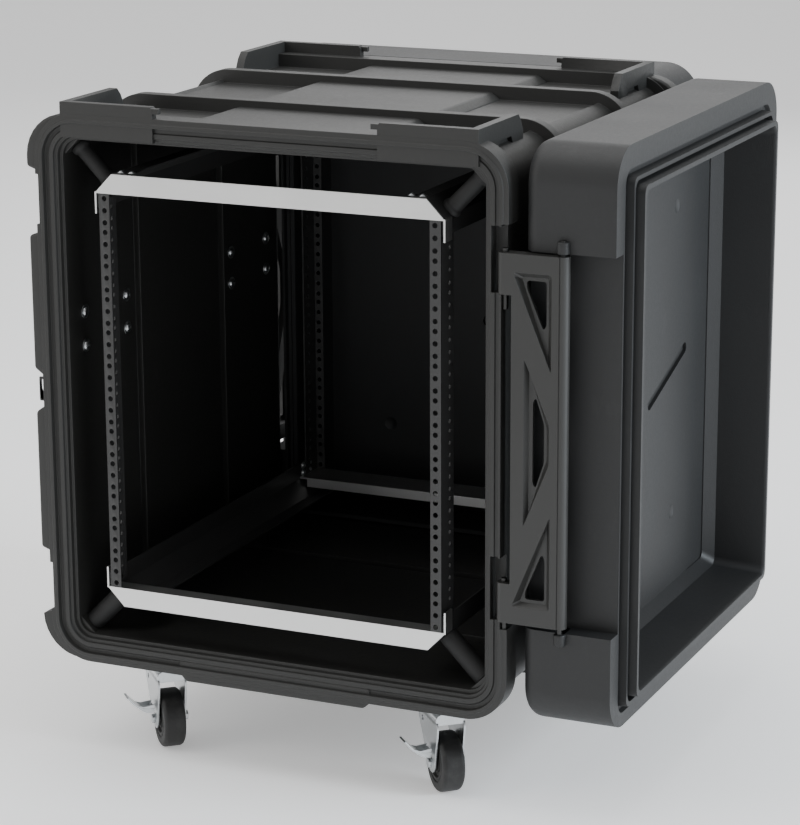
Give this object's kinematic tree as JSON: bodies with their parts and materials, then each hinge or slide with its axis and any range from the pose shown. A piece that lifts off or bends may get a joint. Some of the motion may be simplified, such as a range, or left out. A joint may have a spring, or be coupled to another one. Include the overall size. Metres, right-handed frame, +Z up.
{
  "type": "rack equipment case",
  "caption": "Moulded shock-mount rack case on swivel casters, front door folded open on a two-axis truss hinge, rack frame inside.",
  "frame": {"origin": "on the floor, under the middle of the footprint with the front door folded open", "axes": "+Z up, -Y out of the front opening, +X towards the folded front door"},
  "size_m": [0.833, 0.768, 0.8847],
  "materials": {
    "case_shell": "fine-textured rotationally moulded polyethylene",
    "door_shell": "fine-textured rotationally moulded polyethylene",
    "hinge_plastic": "moulded nylon",
    "grip_rubber": "soft moulded grip",
    "handle_black": "black powder coat",
    "rail_paint": "black powder coat",
    "bare_aluminium": "mill finish, satin",
    "zinc_steel": "bright zinc plate",
    "mount_rubber": "natural rubber",
    "wheel_rubber": "hard rubber tread on a dark hub",
    "steel_pin": "plain steel rod",
    "lock_black": "black coated wire"
  },
  "bodies": {
    "case": {"case_body": "case_shell", "front_lock_loop": "lock_black", "front_hinge_pin_lower": "steel_pin", "front_latch_dish_lower": "zinc_steel", "front_hinge_pin_upper": "steel_pin", "front_latch_dish_upper": "zinc_steel", "rear_lock_loop": "lock_black", "rear_hinge_pin_lower": "steel_pin", "rear_latch_dish_lower": "zinc_steel", "rear_hinge_pin_upper": "steel_pin", "rear_latch_dish_upper": "zinc_steel", "right_front_handle_dish": "handle_black", "rack_rail_front_right": "rail_paint", "rubber_mount_front_right": "mount_rubber", "right_rear_handle_dish": "handle_black", "rack_rail_rear_right": "rail_paint", "rubber_mount_rear_right": "mount_rubber", "side_beam_lower_right": "rail_paint", "side_beam_upper_right": "rail_paint", "left_front_handle_dish": "handle_black", "rack_rail_front_left": "rail_paint", "rubber_mount_front_left": "mount_rubber", "left_rear_handle_dish": "handle_black", "rack_rail_rear_left": "rail_paint", "rubber_mount_rear_left": "mount_rubber", "side_beam_lower_left": "rail_paint", "side_beam_upper_left": "rail_paint", "crossbar_front_lower": "bare_aluminium", "crossbar_front_upper": "bare_aluminium", "crossbar_rear_lower": "bare_aluminium", "crossbar_rear_upper": "bare_aluminium", "caster_plate_front_left": "zinc_steel", "caster_plate_front_right": "zinc_steel", "caster_plate_rear_left": "zinc_steel", "caster_plate_rear_right": "zinc_steel"},
    "front_plate": {"front_hinge_plate": "hinge_plastic"},
    "front_door": {"front_door": "door_shell", "front_door_rod": "steel_pin"},
    "front_upper_latch": {"front_latch_lever_upper": "zinc_steel"},
    "front_lower_latch": {"front_latch_lever_lower": "zinc_steel"},
    "rear_plate": {"rear_hinge_plate": "hinge_plastic"},
    "rear_door": {"rear_door": "door_shell", "rear_door_rod": "steel_pin"},
    "rear_upper_latch": {"rear_latch_lever_upper": "zinc_steel"},
    "rear_lower_latch": {"rear_latch_lever_lower": "zinc_steel"},
    "left_front_handle": {"left_front_handle_bail": "grip_rubber"},
    "left_rear_handle": {"left_rear_handle_bail": "grip_rubber"},
    "right_front_handle": {"right_front_handle_bail": "grip_rubber"},
    "right_rear_handle": {"right_rear_handle_bail": "grip_rubber"},
    "front_left_fork": {"caster_fork_front_left": "zinc_steel"},
    "front_left_wheel": {"caster_wheel_front_left": "wheel_rubber"},
    "front_right_fork": {"caster_fork_front_right": "zinc_steel"},
    "front_right_wheel": {"caster_wheel_front_right": "wheel_rubber"},
    "rear_left_fork": {"caster_fork_rear_left": "zinc_steel"},
    "rear_left_wheel": {"caster_wheel_rear_left": "wheel_rubber"},
    "rear_right_fork": {"caster_fork_rear_right": "zinc_steel"},
    "rear_right_wheel": {"caster_wheel_rear_right": "wheel_rubber"},
    "front_left_brake": {"brake_lever_front_left": "zinc_steel"},
    "front_right_brake": {"brake_lever_front_right": "zinc_steel"}
  },
  "joints": [
    {"name": "front plate swing", "type": "hinge", "parent": "case", "child": "front_plate", "pos_m": [0.2565, -0.375, 0.4997], "axis": [0, 0, 1], "range_deg": [-90, 0]},
    {"name": "front door swing", "type": "hinge", "parent": "front_plate", "child": "front_door", "pos_m": [0.3315, -0.375, 0.4997], "axis": [0, 0, 1], "range_deg": [-180, 0]},
    {"name": "rear plate swing", "type": "hinge", "parent": "case", "child": "rear_plate", "pos_m": [-0.3955, 0.256, 0.4997], "axis": [0, 0, 1], "range_deg": [0, 90]},
    {"name": "rear door swing", "type": "hinge", "parent": "rear_plate", "child": "rear_door", "pos_m": [-0.3955, 0.331, 0.4997], "axis": [0, 0, 1], "range_deg": [0, 180]},
    {"name": "front upper latch turn", "type": "hinge", "parent": "case", "child": "front_upper_latch", "pos_m": [-0.4035, -0.326, 0.7547], "axis": [-1, 0, 0], "range_deg": [0, 90]},
    {"name": "rear upper latch turn", "type": "hinge", "parent": "case", "child": "rear_upper_latch", "pos_m": [0.2645, 0.207, 0.7547], "axis": [1, 0, 0], "range_deg": [0, 90]},
    {"name": "front lower latch turn", "type": "hinge", "parent": "case", "child": "front_lower_latch", "pos_m": [-0.4035, -0.326, 0.2257], "axis": [-1, 0, 0], "range_deg": [0, 90]},
    {"name": "rear lower latch turn", "type": "hinge", "parent": "case", "child": "rear_lower_latch", "pos_m": [0.2645, 0.207, 0.2257], "axis": [1, 0, 0], "range_deg": [0, 90]},
    {"name": "left front handle lift", "type": "hinge", "parent": "case", "child": "left_front_handle", "pos_m": [-0.38885, -0.27, 0.6007], "axis": [0, -1, 0], "range_deg": [-90, 0]},
    {"name": "left rear handle lift", "type": "hinge", "parent": "case", "child": "left_rear_handle", "pos_m": [-0.38885, 0.151, 0.6007], "axis": [0, -1, 0], "range_deg": [-90, 0]},
    {"name": "right front handle lift", "type": "hinge", "parent": "case", "child": "right_front_handle", "pos_m": [0.24985, -0.27, 0.6007], "axis": [0, -1, 0], "range_deg": [0, 15]},
    {"name": "right rear handle lift", "type": "hinge", "parent": "case", "child": "right_rear_handle", "pos_m": [0.24985, 0.151, 0.6007], "axis": [0, -1, 0], "range_deg": [0, 15]},
    {"name": "front_left swivel", "type": "hinge", "parent": "case", "child": "front_left_fork", "pos_m": [-0.2745, -0.304, 0.1147], "axis": [0, 0, 1], "continuous": true},
    {"name": "front_left wheel spin", "type": "hinge", "parent": "front_left_fork", "child": "front_left_wheel", "pos_m": [-0.25443, -0.32629, 0.04], "axis": [0.7431, 0.6691, 0], "continuous": true},
    {"name": "front_left brake press", "type": "hinge", "parent": "front_left_fork", "child": "front_left_brake", "pos_m": [-0.27263, -0.34269, 0.058], "axis": [0.6691, -0.7431, 0], "range_deg": [-25, 0]},
    {"name": "front_right swivel", "type": "hinge", "parent": "case", "child": "front_right_fork", "pos_m": [0.1355, -0.304, 0.1147], "axis": [0, 0, 1], "continuous": true},
    {"name": "front_right wheel spin", "type": "hinge", "parent": "front_right_fork", "child": "front_right_wheel", "pos_m": [0.15557, -0.32629, 0.04], "axis": [0.7431, 0.6691, 0], "continuous": true},
    {"name": "front_right brake press", "type": "hinge", "parent": "front_right_fork", "child": "front_right_brake", "pos_m": [0.13737, -0.34269, 0.058], "axis": [0.6691, -0.7431, 0], "range_deg": [-25, 0]},
    {"name": "rear_left swivel", "type": "hinge", "parent": "case", "child": "rear_left_fork", "pos_m": [-0.2745, 0.185, 0.1147], "axis": [0, 0, 1], "continuous": true},
    {"name": "rear_left wheel spin", "type": "hinge", "parent": "rear_left_fork", "child": "rear_left_wheel", "pos_m": [-0.25443, 0.20729, 0.04], "axis": [-0.7431, 0.6691, 0], "continuous": true},
    {"name": "rear_right swivel", "type": "hinge", "parent": "case", "child": "rear_right_fork", "pos_m": [0.1355, 0.185, 0.1147], "axis": [0, 0, 1], "continuous": true},
    {"name": "rear_right wheel spin", "type": "hinge", "parent": "rear_right_fork", "child": "rear_right_wheel", "pos_m": [0.11543, 0.20729, 0.04], "axis": [-0.7431, -0.6691, 0], "continuous": true}
  ]
}
